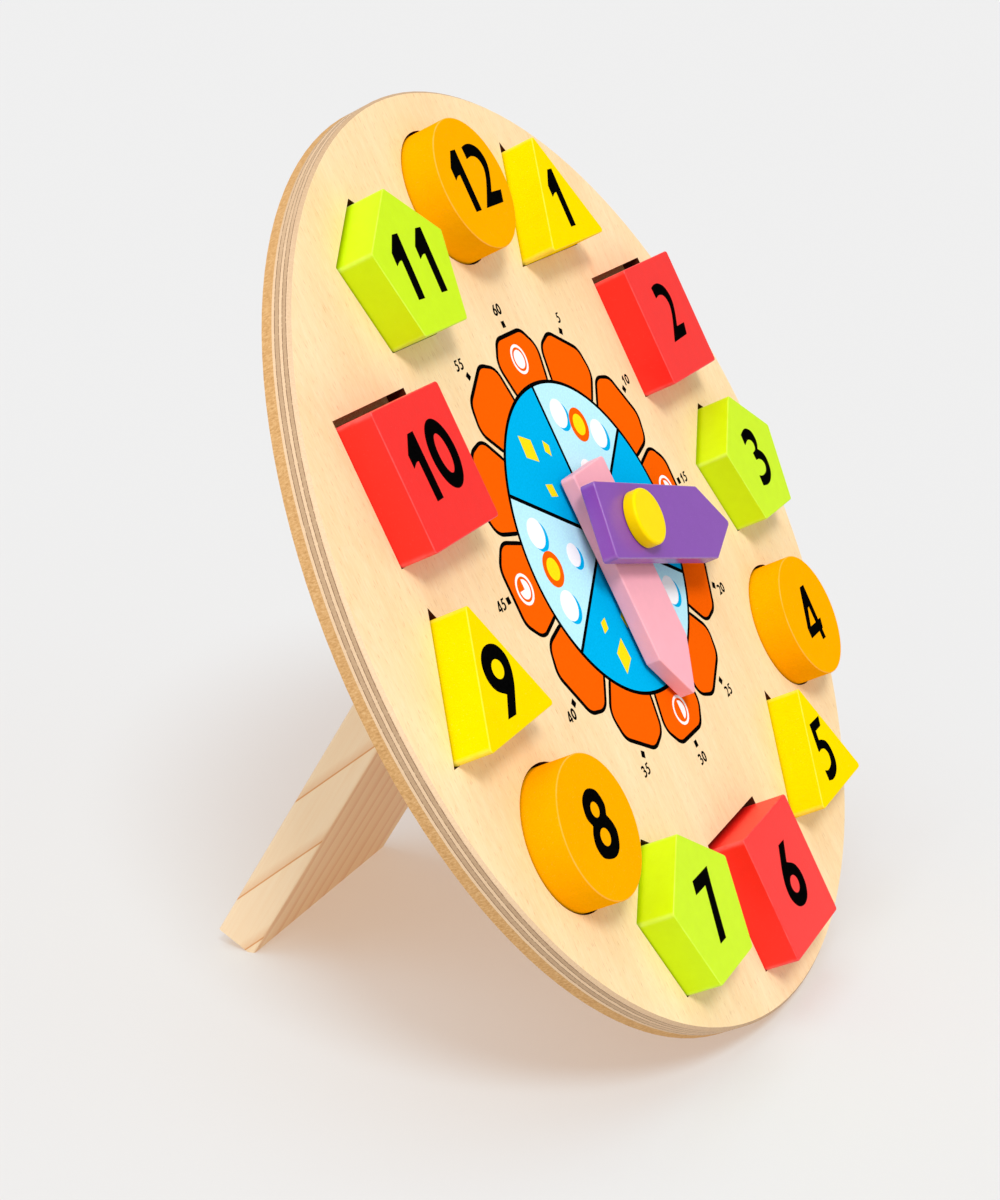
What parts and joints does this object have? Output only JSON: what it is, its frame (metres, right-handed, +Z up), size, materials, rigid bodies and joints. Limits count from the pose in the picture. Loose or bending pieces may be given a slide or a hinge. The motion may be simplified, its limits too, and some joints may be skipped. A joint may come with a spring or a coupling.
{
  "type": "teaching clock",
  "caption": "Round wooden teaching clock that leans back on a plank leg, with hour and minute hands moved by hand and shaped lift-out hour blocks in sockets.",
  "frame": {"origin": "on the floor under the middle of the bounding box, with the clock leaning back on its leg", "axes": "+Z up, the dial faces -Y and leans back towards +Y, +X is to the viewer's right (3 o'clock)"},
  "size_m": [0.285, 0.1758, 0.255],
  "materials": {
    "birch_ply": "clear satin varnish on birch plywood",
    "hardboard": "bare fibre board",
    "pine": "bare planed pine",
    "painted_orange": "opaque satin paint on wood",
    "painted_yellow": "opaque satin paint on wood",
    "painted_red": "opaque satin paint on wood",
    "painted_green": "opaque satin paint on wood",
    "painted_pink": "opaque satin paint on wood",
    "painted_purple": "opaque semi-gloss paint on wood",
    "painted_knob": "opaque semi-gloss paint on wood"
  },
  "bodies": {
    "board": {"backing_board": "hardboard", "centre_peg": "painted_knob", "face_spacer": "birch_ply", "front_panel": "birch_ply", "hand_spacer": "birch_ply", "leg_dowel_left": "birch_ply", "leg_dowel_right": "birch_ply", "stand_leg": "pine"},
    "block_01": {"block_01": "painted_yellow"},
    "block_02": {"block_02": "painted_red"},
    "block_03": {"block_03": "painted_green"},
    "block_04": {"block_04": "painted_orange"},
    "block_05": {"block_05": "painted_yellow"},
    "block_06": {"block_06": "painted_red"},
    "block_07": {"block_07": "painted_green"},
    "block_08": {"block_08": "painted_orange"},
    "block_09": {"block_09": "painted_yellow"},
    "block_10": {"block_10": "painted_red"},
    "block_11": {"block_11": "painted_green"},
    "block_12": {"block_12": "painted_orange"},
    "hour_hand": {"hour_hand": "painted_pink"},
    "minute_hand": {"minute_hand": "painted_purple"}
  },
  "joints": [
    {"name": "block_01_lift_out", "type": "slide", "parent": "board", "child": "block_01", "axis": [0, -0.8813, 0.4726], "range_m": [0, 0.03]},
    {"name": "block_02_lift_out", "type": "slide", "parent": "board", "child": "block_02", "axis": [0, -0.8813, 0.4726], "range_m": [0, 0.03]},
    {"name": "block_03_lift_out", "type": "slide", "parent": "board", "child": "block_03", "axis": [0, -0.8813, 0.4726], "range_m": [0, 0.03]},
    {"name": "block_04_lift_out", "type": "slide", "parent": "board", "child": "block_04", "axis": [0, -0.8813, 0.4726], "range_m": [0, 0.03]},
    {"name": "block_05_lift_out", "type": "slide", "parent": "board", "child": "block_05", "axis": [0, -0.8813, 0.4726], "range_m": [0, 0.03]},
    {"name": "block_06_lift_out", "type": "slide", "parent": "board", "child": "block_06", "axis": [0, -0.8813, 0.4726], "range_m": [0, 0.03]},
    {"name": "block_07_lift_out", "type": "slide", "parent": "board", "child": "block_07", "axis": [0, -0.8813, 0.4726], "range_m": [0, 0.03]},
    {"name": "block_08_lift_out", "type": "slide", "parent": "board", "child": "block_08", "axis": [0, -0.8813, 0.4726], "range_m": [0, 0.03]},
    {"name": "block_09_lift_out", "type": "slide", "parent": "board", "child": "block_09", "axis": [0, -0.8813, 0.4726], "range_m": [0, 0.03]},
    {"name": "block_10_lift_out", "type": "slide", "parent": "board", "child": "block_10", "axis": [0, -0.8813, 0.4726], "range_m": [0, 0.03]},
    {"name": "block_11_lift_out", "type": "slide", "parent": "board", "child": "block_11", "axis": [0, -0.8813, 0.4726], "range_m": [0, 0.03]},
    {"name": "block_12_lift_out", "type": "slide", "parent": "board", "child": "block_12", "axis": [0, -0.8813, 0.4726], "range_m": [0, 0.03]},
    {"name": "hour_hand_turn", "type": "hinge", "parent": "board", "child": "hour_hand", "pos_m": [0.0012, -0.01566, 0.13248], "axis": [0, 0.8813, -0.4726], "continuous": true},
    {"name": "minute_hand_turn", "type": "hinge", "parent": "board", "child": "minute_hand", "pos_m": [0.0012, -0.01566, 0.13248], "axis": [0, 0.8813, -0.4726], "continuous": true}
  ]
}
